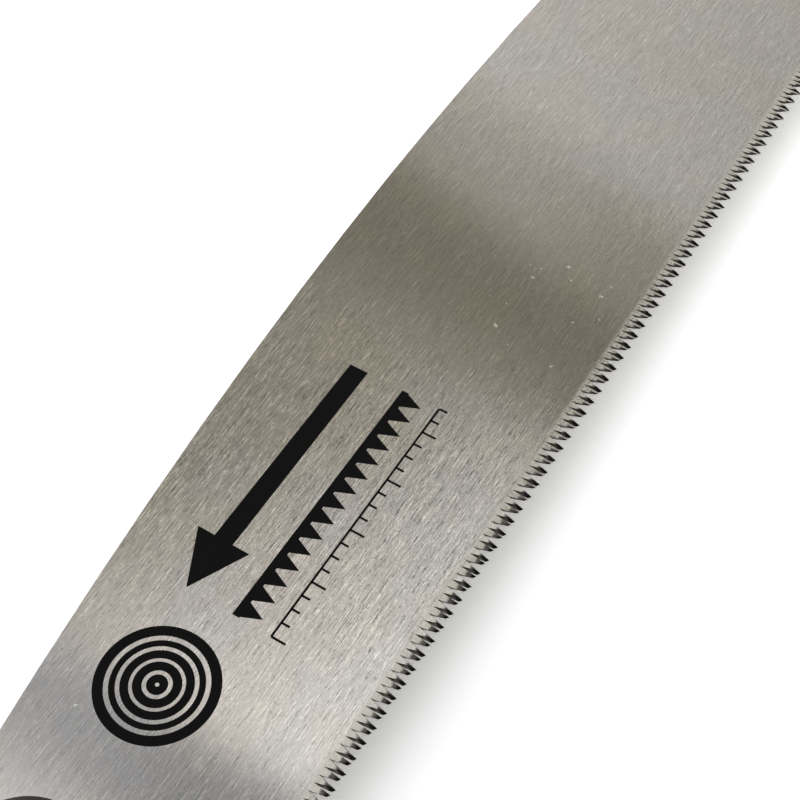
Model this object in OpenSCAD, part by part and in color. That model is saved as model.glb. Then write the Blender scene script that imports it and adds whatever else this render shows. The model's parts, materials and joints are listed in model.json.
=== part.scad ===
// Folding pull saw, lying open on its side.
// +X runs from the handle to the toe of the blade, +Y to the back of the blade, +Z up.
// The origin is the middle of the open saw's footprint, on the surface that it lies on.

/* [Blade] */
// Length of the toothed edge
toothed_len = 240; // [200:1:270]
// Distance from one tooth to the next
tooth_pitch = 1.25; // [1:0.05:2.5]
// Depth of the teeth, from point to gullet
tooth_depth = 2.9; // [1.5:0.1:3.4]
// Sideways set of each tooth point
tooth_set = 0.18; // [0.05:0.01:0.25]
// Thickness of the blade
blade_t = 0.7; // [0.6:0.05:0.9]
// Width of the blade at the crown of its back
blade_w = 52.1; // [51:0.1:58]
// Radius of the arched back
back_r = 966; // [850:1:1200]
// Distance from the pivot to the crown of the back
crown_x = 164.5; // [150:0.5:180]
// Distance from the pivot to the first tooth
heel_x = 24; // [23:0.5:32]
// Distance from the pivot axis to the line of tooth points
tip_drop = 19.4; // [18.5:0.1:22]
// Plain edge between the last tooth and the toe
toe_land = 6; // [5:0.5:10]
// Radius of the corner between toe and back
toe_r = 14; // [8:1:20]

/* [Tang and lock] */
// Radius of the round tang
tang_r = 13; // [12.5:0.1:14]
// Angle that the lock lever swings
lock_swing = 3.3; // [3:0.1:3.6]
// Width of the lever's nose
nose_w = 3.4; // [2.6:0.1:4]
// Distance from the pivot back to the lever's pin
lever_arm = 40; // [36:0.5:46]
// Length of the lever behind its pin
lever_tail = 37; // [34:0.5:42]
// Thickness of the lever
lever_t = 1.6; // [1.2:0.1:1.7]
// Radius of the lever's pin
lever_pin_r = 1.5; // [1.2:0.1:2]
// Radius of the blade's stop pin
stop_r = 2; // [1.5:0.1:2.2]
// Thickness of the leaf that drives the lever
leaf_t = 0.4; // [0.3:0.05:0.5]

/* [Handle] */
// Height of the spine above the roof of the blade's slot
spine_wall = 8.4; // [7.8:0.1:8.8]
// Depth of the belly below the pivot axis at the middle of the grip
belly_drop = 15; // [14:0.5:17]
// Depth of the butt's hook below the pivot axis
butt_drop = 18.4; // [17:0.1:18.4]
// Distance from the toe of the folded blade to the butt
butt_room = 24; // [22:0.5:34]
// Rise of the spine's arch above its front end
crest_rise = 2.1; // [0.5:0.1:2.2]
// Distance from the pivot to the handle's nose
nose_x = 23.3; // [21.5:0.1:23.6]
// Height of the nose's corner above the pivot axis
nose_y = 10.4; // [9:0.1:11.5]
// Radius of the nose's corner
nose_r = 9.8; // [9.8:0.1:11]
// Slope of the handle's brow, from the nose up to the spine
brow_angle = 41; // [36:1:44]
// Width of the slot that the blade folds into
slot_w = 2; // [1.9:0.05:2.4]
// Thickness of each steel liner
liner_t = 1.2; // [0.8:0.1:2]
// Thickness of each moulded scale
scale_t = 8.6; // [7.5:0.1:11]
// Width of the rounding along a scale's edge
edge_round = 9; // [5:0.5:9]
// Straight wall at the foot of that rounding
edge_wall = 1.6; // [1:0.1:3]
// Step from a scale's edge in to its liner
liner_step = 0.5; // [0.2:0.1:1]

/* [Grip] */
// Thickness of each grip pad
grip_t = 2.1; // [1.6:0.1:3]
// Height that a pad stands out of its scale
grip_proud = 0.5; // [0.3:0.1:1]
// Border of the scale around a pad
grip_border = 9.5; // [9.2:0.1:10.5]
// Distance from the pivot back to the front of the pads
grip_front = 92; // [90:1:110]
// Distance from the butt forward to the rear of the pads
grip_rear = 38; // [36:1:60]
// Distance from one groove of a pad to the next
groove_step = 7.5; // [6:0.5:14]
// Width of a groove
groove_w = 2.6; // [2:0.1:4]
// Depth of a groove
groove_d = 0.9; // [0.4:0.1:1.4]

/* [Fasteners] */
// Radius of the pivot bolt's shank
pivot_r = 3; // [2.5:0.1:3.5]
// Radius of the bush that the blade turns on
bush_r = 4.5; // [4.2:0.1:5]
// Radius of the pivot bolt's head and nut
pivot_head_r = 7; // [6:0.1:7.5]
// Height of the pivot bolt's head and nut
pivot_head_h = 3; // [2.4:0.1:3.5]
// Radius of the friction washers beside the blade
washer_r = 9.8; // [7:0.1:10]
// Radius of the body screws
screw_r = 1.5; // [1.2:0.1:1.8]
// Radius of the screws' and sleeve nuts' heads
screw_head_r = 2.75; // [2.6:0.05:3]
// Height of those heads
screw_head_h = 2; // [1.4:0.1:2.4]
// Inner radius of the eyelet to hang the saw by
eyelet_r = 3; // [2:0.1:3.4]
// Wall of the eyelet
eyelet_wall = 1.2; // [0.8:0.1:1.6]

/* [Hidden] */
$fn = 64;

// Clearances: turning fit, seated fit, and air between parts that move past each other
run_fit = 0.05;
seat_fit = 0.02;
air = 0.3;
// Excess that carries a cut past the face that it opens
past = 1;

// Heights above the blade's middle plane
slot_z = slot_w / 2;
scale_z = slot_z + liner_t;
crown_z = scale_z + scale_t;
grip_z = crown_z + grip_proud;

// Blade lines
toe_x = heel_x + toothed_len + toe_land;
crown_y = blade_w - tip_drop;
back_c = [crown_x, crown_y - back_r];
gullet_y = tooth_depth - tip_drop;
land_rise = 1.2;
land_y = land_rise - tip_drop;
// Turn of the back's shoulder and of the heel about the pivot
shoulder_a = 68.5;
heel_a = -40;
toe_lean = 4;
toe_corner_r = 2;
// Turn per facet of the toe's lower and upper corners
toe_corner_turn = 15;
toe_turn = 6;
// Slope of the plain edge beside the first and the last tooth
edge_slope = 1.2;
// Thinning of the toothed edge, its depth into the plate, and the plate's own edge inside it
tooth_relief = 0.02;
tooth_band = 0.9;
plate_lap = 0.3;

// Folded teeth lie at +tip_drop, and all that bridges the slot stays above them
lever_lift = 1.8;
roof_lift = 2.6;
lever_floor = tip_drop + lever_lift;
slot_roof = tip_drop + roof_lift;
spine_y = slot_roof + spine_wall;
spine_top = spine_y + crest_rise;
eye_wall = 2.1;
eye_r = lever_pin_r + eye_wall;
lever_pin_at = [-lever_arm, lever_floor + eye_r];

// Handle lines
butt_x = -(toe_x + butt_room);
toe_reach = norm([toe_x, land_y]) + air;
brow_x = nose_x - (spine_y - nose_y) / tan(brow_angle);
guard_swell = 1.5;
waist_rise = 3.5;
guard_drop = belly_drop + guard_swell;
waist_drop = belly_drop - waist_rise;
spacer_inset = 1;
spacer_step = liner_step + spacer_inset;
// Places along the outline: the spine's crest, the butt's hook, the belly's waists and swell, guard, chin
crest_x = -130;
butt_fall = 2.4;
hook_run = 28;
hook_x = butt_x + hook_run;
rear_waist_run = 52;
rear_waist_x = butt_x + rear_waist_run;
swell_run = 128;
swell_x = butt_x + swell_run;
front_waist_x = -66;
guard_x = -8;
chin_back = 3;
chin_rise = 1;
chin = [nose_x - chin_back, chin_rise - waist_drop];
// Radii that blend those corners
brow_r = 25;
crest_r = 1600;
butt_r = 18;
hook_r = 10;
hook_blend_r = 30;
rear_waist_r = 100;
swell_r = 800;
front_waist_r = 300;
guard_r = 60;
chin_r = 10;

// Middle of the open saw's footprint
mid_x = (toe_x + butt_x) / 2;
mid_y = (crown_y - tip_drop) / 2;

// Lock nose: middle of its tip with the lever released, and the line that it moves along
lock_a = 100;
nose_tip = (tang_r + air) * [cos(lock_a), sin(lock_a)];
nose_tangent = [sin(lock_a), -cos(lock_a)];
nose_arm = nose_tip - lever_pin_at;
nose_rise = [-nose_arm[1], nose_arm[0]] / norm(nose_arm);

// Fastener places
stop_pitch_r = 18;
stop_a = shoulder_a + asin((stop_r + run_fit) / stop_pitch_r);
stop_at = stop_pitch_r * [cos(stop_a), sin(stop_a)];
screw_wall = 1.1;
screw_y = slot_roof + screw_r + screw_wall;
front_screw_run = 8;
front_screw_x = -(grip_front + front_screw_run);
rear_screw_run = 46;
rear_screw_x = -(toe_x - rear_screw_run);
screw_xs = [front_screw_x, (front_screw_x + rear_screw_x) / 2, rear_screw_x];
butt_wall = 9;
butt_mid_x = -(toe_reach + butt_wall);
butt_screw_y = 14;
screw_places = concat([for (x = screw_xs) [x, screw_y]], [[butt_mid_x, butt_screw_y]]);
eyelet_y = -5;
eyelet_at = [butt_mid_x, eyelet_y];
screw_sink = 4.4;
sleeve_wall = 0.8;
sleeve_r = screw_r + sleeve_wall;
sleeve_gap = 0.4;
pin_depth = 5;
pin_end_gap = 0.2;
pivot_sink = 0.6;
bolt_end_gap = 0.6;
spring_h = 1;
spring_plate = 0.5;
peg_r = 1.2;
peg_wall = 1.4;
peg_y = slot_roof + peg_r + peg_wall;
peg_xs = [-5, -12];
peg_places = [for (x = peg_xs) [x, peg_y]];
flange_w = 1.5;
flange_r = eyelet_r + eyelet_wall + flange_w;
flange_t = 0.6;
flange_sink = 0.6;
// Rim chamfer of the heads, floor under their sockets, and the nuts' spanner holes and slots
head_chamfer = 0.5;
socket_floor = 0.8;
spanner_r = 0.9;
nut_slot_w = 0.8;
nut_slot_d = 0.7;

// Grip pads: ends, corners, lean of the grooves, turn per facet of their corners, and the plain margin
pad_slant = 9;
pad_end_r = 9;
pad_crest_r = 300;
pad_swell_r = 600;
groove_lean = 20;
groove_turn = 30;
groove_margin = 4;
groove_end = 17;

// Thumb pad of the lever, and the window in the spine that it works in
pad_cap = 2;
pad_len = 26;
pad_x0 = lever_pin_at[0] - lever_tail - pad_cap;
pad_x1 = pad_x0 + pad_len;
pad_half = 5.2;
pad_air = 1;
pad_foot_rise = 2.4;
pad_foot = lever_floor + pad_foot_rise;
pad_sink = 0.4;
pad_top = spine_y - pad_sink;
pad_corner_r = 2.5;
pad_arch_r = 40;
pad_foot_r = 1;
pad_groove_r = 0.8;
pad_groove_step = 3;
window_rise = 1.6;
window_foot = lever_floor + window_rise;
scoop_r = 24;
scoop_d = 4.5;

// Spring leaf between the front spacer and the lever's nose
leaf_gap = 0.5;
leaf_drop = 0.3;
leaf_foot = lever_floor - leaf_drop;
leaf_roof = leaf_foot + 2 * leaf_t + leaf_gap;
leaf_x0 = -15.5;
leaf_x1 = 0.5;

// Spacers: the joint between the spine's and the butt's, the gap in it, and the ends beside pad and leaf
spacer_joint_run = 18;
spacer_joint_x = -(toe_x - spacer_joint_run);
spacer_gap = 2;
pad_gap = 4;
leaf_lap = 1;

// Lever: depth of its notch in the tang, root of its nose, tail and shoulders, and the radius of its corners
notch_reach = 8;
nose_root = 3.4;
tail_h = 5.4;
tail_step = 8;
eye_flat = 4;
leaf_shoulder = 2;
heel_step = 3;
lever_r = 1;

// Points and outward normals, [x, y, nx, ny], round a polygon of corners [x, y, radius],
// given counter-clockwise, with each corner replaced by its arc.
function unit(v) = v / norm(v);
function outward(a, b) = let (u = unit([b[0] - a[0], b[1] - a[1]])) [u[1], -u[0]];
function arc_points(p, r, n1, n2, step) =
    let (turn = atan2(n1[0] * n2[1] - n1[1] * n2[0], n1 * n2))
    let (side = sign(turn))
    let (c = p - side * r * (n1 + n2) / (1 + n1 * n2))
    let (a1 = atan2(n1[1], n1[0]))
    let (count = max(1, ceil(abs(turn) / step)))
    [for (i = [0:count])
        let (a = a1 + turn * i / count)
        let (n = [cos(a), sin(a)])
        concat(c + side * r * n, n)];
function rounded(corners, step = 7) =
    let (count = len(corners))
    [for (i = [0:count - 1])
        let (before = corners[(i + count - 1) % count])
        let (here = corners[i])
        let (after = corners[(i + 1) % count])
        each arc_points([here[0], here[1]], here[2], outward(before, here), outward(here, after), step)];
function inset(outline, d) = [for (p = outline) [p[0] - d * p[2], p[1] - d * p[3]]];
function turned(v, a) = [v[0] * cos(a) - v[1] * sin(a), v[0] * sin(a) + v[1] * cos(a)];

// Side outline of the handle, from the nose over the spine to the butt and back along the belly
handle_outline = rounded([
    [nose_x, nose_y, nose_r],
    [brow_x, spine_y, brow_r],
    [crest_x, spine_top, crest_r],
    [butt_x, spine_y - butt_fall, butt_r],
    [butt_x, -butt_drop, hook_r],
    [hook_x, -butt_drop, hook_blend_r],
    [rear_waist_x, -waist_drop, rear_waist_r],
    [swell_x, -belly_drop, swell_r],
    [front_waist_x, -waist_drop, front_waist_r],
    [guard_x, -guard_drop, guard_r],
    concat(chin, chin_r)
]);
// A fillet can't be wider than the tightest corner that it runs round
least_fillet = 0.7;
edge_in = min(edge_round, nose_r - least_fillet, hook_r - least_fillet, chin_r - least_fillet);

// Outline of a grip pad: a slanted band that follows the swell of the belly and the crest of the spine
pad_rear_x = butt_x + grip_rear;
pad_rear_y = spine_y - butt_fall + (crest_rise + butt_fall) * grip_rear / (crest_x - butt_x);
pad_floor = [
    [pad_rear_x + pad_slant, grip_border - waist_drop],
    [swell_x, grip_border - belly_drop],
    [-grip_front, grip_border - waist_drop]
];
pad_roof = [
    [pad_rear_x, pad_rear_y - grip_border],
    [crest_x, spine_top - grip_border],
    [-grip_front - pad_slant, spine_y - grip_border]
];
grip_outline = rounded([
    concat(pad_floor[2], pad_end_r),
    concat(pad_roof[2], pad_end_r),
    concat(pad_roof[1], pad_crest_r),
    concat(pad_roof[0], pad_end_r),
    concat(pad_floor[0], pad_end_r),
    concat(pad_floor[1], pad_swell_r)
]);

// Lever seen from above, released
lever_outline = rounded([
    concat(nose_tip - nose_tangent * nose_w / 2, 0.3 * lever_r),
    concat(nose_tip + nose_tangent * nose_w / 2, 0.3 * lever_r),
    [leaf_x1, leaf_foot, lever_r],
    [leaf_x0 - leaf_shoulder, leaf_foot, 0.8 * lever_r],
    [leaf_x0 - 2 * leaf_shoulder, lever_pin_at[1] + lever_pin_r, 2 * lever_r],
    [lever_pin_at[0] + eye_flat, lever_pin_at[1] + eye_r, 4 * lever_r],
    [lever_pin_at[0] - eye_flat, lever_pin_at[1] + eye_r, 3 * lever_r],
    [lever_pin_at[0] - tail_step, lever_floor + tail_h, 3 * lever_r],
    [lever_pin_at[0] - lever_tail, lever_floor + tail_h, lever_r],
    [lever_pin_at[0] - lever_tail, lever_floor, lever_r],
    [heel_step - heel_x, lever_floor, lever_r],
    [2 * heel_step - heel_x, lever_floor - nose_root, lever_r],
    concat(nose_tip - nose_tangent * nose_w / 2 + nose_rise * nose_root, lever_r)
]);

// Moves the working frame (pivot axis, blade's middle plane) to the frame at the head of this file
module at_rest() translate([-mid_x, -mid_y, grip_z]) children();

// Draws a half of the handle on the upper side (side = 1) or the lower side (side = -1)
module on_side(side) mirror([0, 0, side < 0 ? 1 : 0]) children();

module slab(z0, z1) translate([0, 0, z0]) linear_extrude(height = z1 - z0) children();

module drill(at, r, z0, z1) translate([at[0], at[1], z0]) cylinder(r = r, h = z1 - z0);

// Solid between rings of equally many points, given from the lowest up
module ring_loft(rings) {
    n = len(rings[0]);
    last = (len(rings) - 1) * n;
    walls = [for (k = [0:len(rings) - 2], i = [0:n - 1])
        let (j = (i + 1) % n)
        let (a = k * n)
        each [[a + i, a + n + i, a + n + j], [a + i, a + n + j, a + j]]];
    floor_face = [for (i = [0:n - 1]) i];
    roof_face = [for (i = [n - 1:-1:0]) last + i];
    polyhedron([for (ring = rings) each ring], concat([floor_face], walls, [roof_face]), convexity = 6);
}

// Row of cross-cut teeth: each tooth leans to one side and is bevelled to a point there,
// and the next one is its mirror image
module tooth_row() {
    half = blade_t / 2 - tooth_relief;
    count = floor(toothed_len / tooth_pitch);
    band_y = gullet_y + tooth_band;
    tip_half = 0.2 * tooth_pitch;
    bevel_half = 0.12 * tooth_pitch;
    bevel_y = 0.36 * tooth_depth - tip_drop;
    slant = 0.12 * tooth_depth;
    root = [for (i = [0:count])
        let (x = heel_x + i * tooth_pitch)
        each [[x, band_y, half], [x, band_y, -half], [x, gullet_y, half], [x, gullet_y, -half]]];
    tips = [for (i = [0:count - 1])
        let (x = heel_x + (i + 0.5) * tooth_pitch)
        let (lean = i % 2 == 0 ? 1 : -1)
        let (outer = lean * (half + tooth_set))
        let (inner = lean * (0.5 * tooth_set - half))
        let (edge = [[x - tip_half, -tip_drop + slant, outer], [x + tip_half, -tip_drop, outer]])
        let (bevel = [[x - bevel_half, bevel_y + slant, inner], [x + bevel_half, bevel_y, inner]])
        each lean > 0 ? concat(edge, bevel) : concat(bevel, edge)];
    t0 = len(root);
    faces = [for (i = [0:count - 1])
        let (a = 4 * i)
        let (b = a + 4)
        let (t = t0 + 4 * i)
        each [
            [a, b, b + 2], [a, b + 2, a + 2],
            [a + 1, b + 3, b + 1], [a + 1, a + 3, b + 3],
            [a, a + 1, b + 1], [a, b + 1, b],
            [a + 2, b + 2, t + 1], [a + 2, t + 1, t],
            [a + 3, t + 3, b + 3], [a + 3, t + 2, t + 3],
            [a + 2, t, t + 2], [a + 2, t + 2, a + 3],
            [b + 2, t + 3, t + 1], [b + 2, b + 3, t + 3],
            [t, t + 1, t + 3], [t, t + 3, t + 2]
        ]];
    z = 4 * count;
    ends = [[0, 2, 3], [0, 3, 1], [z, z + 3, z + 2], [z, z + 1, z + 3]];
    polyhedron(concat(root, tips), concat(faces, ends), convexity = 10);
}

// Plate of the blade, from the root of the teeth to the arched back
module blade_plate() {
    toe_normal = [cos(toe_lean), sin(toe_lean)];
    // The corner at the toe is rounded between the toe and the back's tangent beside it
    touch_x = toe_x - toe_r;
    touch_y = back_c[1] + sqrt(back_r * back_r - pow(touch_x - crown_x, 2));
    back_normal = unit([touch_x, touch_y] - back_c);
    toe_along = turned(toe_normal, 90);
    toe_rise = (back_normal * [touch_x - toe_x, touch_y - land_y]) / (back_normal * toe_along);
    toe_top = [toe_x, land_y] + toe_rise * toe_along;
    outline = concat(
        [
            [0, 0],
            (tang_r - past) * [cos(heel_a), sin(heel_a)],
            [heel_x - edge_slope, gullet_y + tooth_band],
            [heel_x - plate_lap, gullet_y + plate_lap],
            [heel_x + toothed_len + plate_lap, gullet_y + plate_lap],
            [heel_x + toothed_len + edge_slope, land_y]
        ],
        inset(arc_points([toe_x, land_y], toe_corner_r, [0, -1], toe_normal, toe_corner_turn), 0),
        inset(arc_points(toe_top, toe_r, toe_normal, back_normal, toe_turn), 0),
        [
            [crown_x, crown_y + toe_r],
            1.5 * stop_pitch_r * [cos(shoulder_a), sin(shoulder_a)]
        ]
    );
    intersection() {
        slab(-blade_t / 2, blade_t / 2) polygon(outline);
        translate([back_c[0], back_c[1], -blade_t]) cylinder(r = back_r, h = 2 * blade_t, $fn = 720);
    }
}

// Room in the tang for the lever's nose, engaged
module lock_notch() {
    half = (nose_w / 2 + air) * nose_tangent;
    floor_at = nose_tip - air * [cos(lock_a), sin(lock_a)];
    mouth_at = floor_at + notch_reach * nose_rise;
    corners = [floor_at - half, floor_at + half, mouth_at + half, mouth_at - half];
    engaged = [for (p = corners) lever_pin_at + turned(p - lever_pin_at, -lock_swing)];
    slab(-blade_t, blade_t) polygon(engaged);
}

module blade() {
    color("silver") at_rest() difference() {
        union() {
            blade_plate();
            cylinder(r = tang_r, h = blade_t, center = true);
            tooth_row();
        }
        cylinder(r = bush_r + run_fit, h = 2 * blade_t, center = true);
        for (a = [0, 180]) rotate(a) lock_notch();
    }
}

// Window in the spine for the thumb pad, open upwards
module pad_window(z1) {
    width = pad_x1 - pad_x0 + 2 * pad_air;
    translate([pad_x0 - pad_air, window_foot, -past]) cube([width, spine_wall + scoop_d + past, z1 + past]);
}

// Hollow in the spine that lets the thumb reach the pad
module thumb_scoop(extra) {
    translate([(pad_x0 + pad_x1) / 2, spine_y + scoop_r - scoop_d, 0])
        cylinder(r = scoop_r + extra, h = 2 * (crown_z + past), center = true, $fn = 96);
}

// Holes that both liners share, from z0 to z1
module liner_holes(z0, z1) {
    drill([0, 0], pivot_r + run_fit, z0, z1);
    drill(stop_at, stop_r + seat_fit, z0, z1);
    drill(lever_pin_at, lever_pin_r + seat_fit, z0, z1);
    for (p = screw_places) drill(p, screw_r + run_fit, z0, z1);
    for (p = peg_places) drill(p, peg_r + seat_fit, z0, z1);
    drill(eyelet_at, eyelet_r + eyelet_wall + seat_fit, z0, z1);
}

module liner() {
    difference() {
        slab(slot_z, scale_z) polygon(inset(handle_outline, liner_step));
        liner_holes(slot_z - past, scale_z + past);
        pad_window(scale_z + past);
        thumb_scoop(liner_step);
    }
}

module upper_liner() color("lightgray") at_rest() liner();

module lower_liner() color("lightgray") at_rest() on_side(-1) liner();

// Plan of a grip pad, widened by a clearance
module grip_plan(gap) polygon(inset(grip_outline, -gap));

// Block of the scale: its rounded wall is lofted a little past both flat faces, which are then cut plane
module scale_block() {
    steps = 7;
    over = 0.08;
    rise = scale_t - edge_wall + over;
    wall = inset(handle_outline, 0);
    intersection() {
        ring_loft(concat(
            [[for (p = wall) concat(p, scale_z - past)]],
            [for (k = [0:steps])
                let (a = 90 * k / steps)
                [for (p = inset(handle_outline, edge_in * (1 - cos(a))))
                    concat(p, scale_z + edge_wall + rise * sin(a))]]
        ));
        slab(scale_z, crown_z) translate([2 * butt_x, -2 * spine_y]) square([-4 * butt_x, 4 * spine_y]);
    }
}

// Moulded scale without the seats of its pivot fastener
module scale_body() {
    difference() {
        scale_block();
        slab(crown_z - grip_t + grip_proud, crown_z + past) grip_plan(seat_fit);
        drill([0, 0], pivot_r + run_fit, scale_z - past, crown_z + past);
        drill(stop_at, stop_r + seat_fit, scale_z - past, scale_z + pin_depth);
        drill(lever_pin_at, lever_pin_r + seat_fit, scale_z - past, scale_z + pin_depth);
        for (p = screw_places) drill(p, screw_head_r + run_fit, crown_z - screw_sink, crown_z + past);
        drill(eyelet_at, eyelet_r + eyelet_wall + seat_fit, scale_z - past, crown_z + past);
        drill(eyelet_at, flange_r + run_fit, crown_z - flange_sink - flange_t, crown_z + past);
        pad_window(pad_half + pad_air);
        thumb_scoop(0);
    }
}

module upper_scale() {
    color("#1c1c1e") at_rest() difference() {
        scale_body();
        drill([0, 0], pivot_head_r + run_fit, crown_z - pivot_sink - pivot_head_h, crown_z + past);
        for (p = screw_places) drill(p, screw_r + run_fit, scale_z - past, crown_z);
    }
}

module lower_scale() {
    color("#1c1c1e") at_rest() on_side(-1) difference() {
        scale_body();
        drill([0, 0], pivot_head_r + run_fit, crown_z - pivot_sink - pivot_head_h - spring_h, crown_z + past);
        for (p = screw_places) drill(p, sleeve_r + run_fit, scale_z - past, crown_z);
    }
}

// Elastomer pad with a row of slanted grooves inside its border
module grip() {
    run = -grip_front - pad_rear_x;
    count = floor((run - 2 * groove_end) / groove_step);
    groove_r = 0.42 * groove_w;
    difference() {
        slab(grip_z - grip_t, grip_z) grip_plan(0);
        for (i = [0:count]) {
            x = -grip_front - groove_end - i * groove_step;
            low = lookup(x, pad_floor) + groove_margin;
            high = lookup(x, pad_roof) - groove_margin;
            lean = (low - high) * tan(groove_lean);
            slab(grip_z - groove_d, grip_z + past) polygon(inset(rounded([
                [x, low, groove_r],
                [x + groove_w, low, groove_r],
                [x + groove_w + lean, high, groove_r],
                [x + lean, high, groove_r]
            ], groove_turn), 0));
        }
    }
}

module upper_grip() color("#2b2b2d") at_rest() grip();

module lower_grip() color("#2b2b2d") at_rest() on_side(-1) grip();

// Fills the slot inside the handle's outline, over the plan given as children
module slot_filler() {
    intersection() {
        slab(-slot_z, slot_z) polygon(inset(handle_outline, spacer_step));
        slab(-slot_z - past, slot_z + past) children();
    }
}

// Plan of a block from x0 to x1 and from y0 up
module above(x0, x1, y0) translate([x0, y0]) square([x1 - x0, spine_top - y0 + past]);

module spine_spacer() {
    color("#3a3a3c") at_rest() difference() {
        slot_filler() above(spacer_joint_x, pad_x0 - pad_gap, slot_roof);
        for (p = screw_places) drill(p, screw_r + run_fit, -slot_w, slot_w);
    }
}

module front_spacer() {
    color("#3a3a3c") at_rest() {
        slot_filler() above(leaf_x0 - leaf_lap, leaf_x1 + 1.5 * leaf_lap, leaf_roof);
        for (p = peg_places) drill(p, peg_r, -scale_z + seat_fit, scale_z - seat_fit);
    }
}

module butt_spacer() {
    color("#3a3a3c") at_rest() difference() {
        slot_filler() {
            above(butt_x, spacer_joint_x - spacer_gap, slot_roof);
            translate([butt_x, -butt_drop]) square([-toe_reach - butt_x, butt_drop + spine_top]);
        }
        for (p = screw_places) drill(p, screw_r + run_fit, -slot_w, slot_w);
        drill(eyelet_at, eyelet_r + eyelet_wall + seat_fit, -slot_w, slot_w);
    }
}

// Rubber block that the toe's plain edge closes against
module toe_bumper() {
    color("#161616") at_rest()
        translate([-toe_x + seat_fit, air - land_y, -slot_z])
            cube([toe_land - past, slot_roof + land_y - air, slot_w]);
}

// Head of a screw or nut, with a chamfered rim, from its seat up
module head(r, h) rotate_extrude()
    polygon([[0, 0], [r, 0], [r, h - head_chamfer], [r - head_chamfer, h], [0, h]]);

module pivot_bolt() {
    seat = crown_z - pivot_sink - pivot_head_h;
    color("#4a4a4c") at_rest() difference() {
        union() {
            translate([0, 0, seat]) head(pivot_head_r, pivot_head_h);
            drill([0, 0], pivot_r, -crown_z + pivot_sink + bolt_end_gap, seat + past);
        }
        translate([0, 0, seat + socket_floor]) cylinder(r = 0.5 * pivot_head_r, h = pivot_head_h, $fn = 6);
    }
}

// Round nut with two holes for a pin spanner
module pivot_nut() {
    seat = crown_z - pivot_sink - pivot_head_h;
    color("#4a4a4c") at_rest() on_side(-1) difference() {
        translate([0, 0, seat]) head(pivot_head_r, pivot_head_h);
        drill([0, 0], pivot_r + seat_fit, seat - past, crown_z);
        for (side = [-1, 1])
            drill([side * (pivot_r + pivot_head_r) / 2, 0], spanner_r, seat + socket_floor, crown_z);
    }
}

module pivot_bush() {
    color("goldenrod") at_rest() difference() {
        drill([0, 0], bush_r, -slot_z, slot_z);
        drill([0, 0], pivot_r + run_fit, -slot_w, slot_w);
    }
}

module pivot_washers() {
    color("ivory") at_rest() for (side = [-1, 1]) on_side(side) difference() {
        drill([0, 0], washer_r, blade_t / 2 + run_fit, slot_z);
        drill([0, 0], bush_r + run_fit, 0, slot_w);
    }
}

// Dished spring washer under the pivot nut
module spring_washer() {
    seat = crown_z - pivot_sink - pivot_head_h - spring_h;
    inner = pivot_r + air;
    outer = pivot_head_r - air;
    color("gray") at_rest() on_side(-1) translate([0, 0, seat]) rotate_extrude()
        polygon([[inner, spring_h - spring_plate], [outer, 0], [outer, spring_plate], [inner, spring_h]]);
}

module stop_pin() {
    reach = scale_z + pin_depth - pin_end_gap;
    color("gray") at_rest() drill(stop_at, stop_r, -reach, reach);
}

module lock_lever() {
    color("silver") at_rest() difference() {
        slab(-lever_t / 2, lever_t / 2) polygon(inset(lever_outline, 0));
        drill(lever_pin_at, lever_pin_r + run_fit, -lever_t, lever_t);
    }
}

// Thumb pad: a cap over the lever's tail, with grooves across its top
module lever_pad() {
    grooves = floor(pad_len / pad_groove_step) - 2;
    color("#1c1c1e") at_rest() difference() {
        slab(-pad_half, pad_half) polygon(inset(rounded([
            [pad_x1, pad_foot, pad_foot_r],
            [pad_x1 - pad_foot_r, pad_top - 2 * pad_groove_r, pad_corner_r],
            [(pad_x0 + pad_x1) / 2, pad_top, pad_arch_r],
            [pad_x0, pad_top - pad_groove_r, pad_corner_r],
            [pad_x0, pad_foot, pad_foot_r]
        ]), 0));
        slab(-lever_t / 2 - seat_fit, lever_t / 2 + seat_fit) polygon(inset(lever_outline, -seat_fit));
        for (i = [0:grooves - 1]) {
            x = pad_x0 + (i + 1.5) * pad_groove_step;
            drill([x, pad_top + 0.3 * pad_groove_r], pad_groove_r, -pad_half - past, pad_half + past);
        }
    }
}

module lever_pin() {
    reach = scale_z + pin_depth - pin_end_gap;
    color("gray") at_rest() drill(lever_pin_at, lever_pin_r, -reach, reach);
}

// Hairpin leaf under the front spacer, drawn as the released lever presses it
module lock_spring() {
    bend_r = leaf_t + leaf_gap / 2;
    color("gray") at_rest() slab(-lever_t / 2, lever_t / 2) {
        translate([leaf_x0, leaf_foot + run_fit]) square([leaf_x1 - leaf_x0, leaf_t - run_fit]);
        translate([leaf_x0, leaf_roof - leaf_t]) square([leaf_x1 - leaf_x0, leaf_t]);
        translate([leaf_x0, leaf_roof - bend_r]) difference() {
            circle(r = bend_r - run_fit / 2);
            circle(r = leaf_gap / 2);
            translate([0, -bend_r]) square(2 * bend_r);
        }
    }
}

module body_screws() {
    seat = crown_z - screw_sink;
    color("#4a4a4c") at_rest() for (p = screw_places) translate([p[0], p[1], 0]) difference() {
        union() {
            translate([0, 0, seat]) head(screw_head_r, screw_head_h);
            drill([0, 0], screw_r, -seat, seat + past);
        }
        translate([0, 0, seat + socket_floor]) cylinder(r = 0.5 * screw_head_r, h = screw_head_h, $fn = 6);
    }
}

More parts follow.
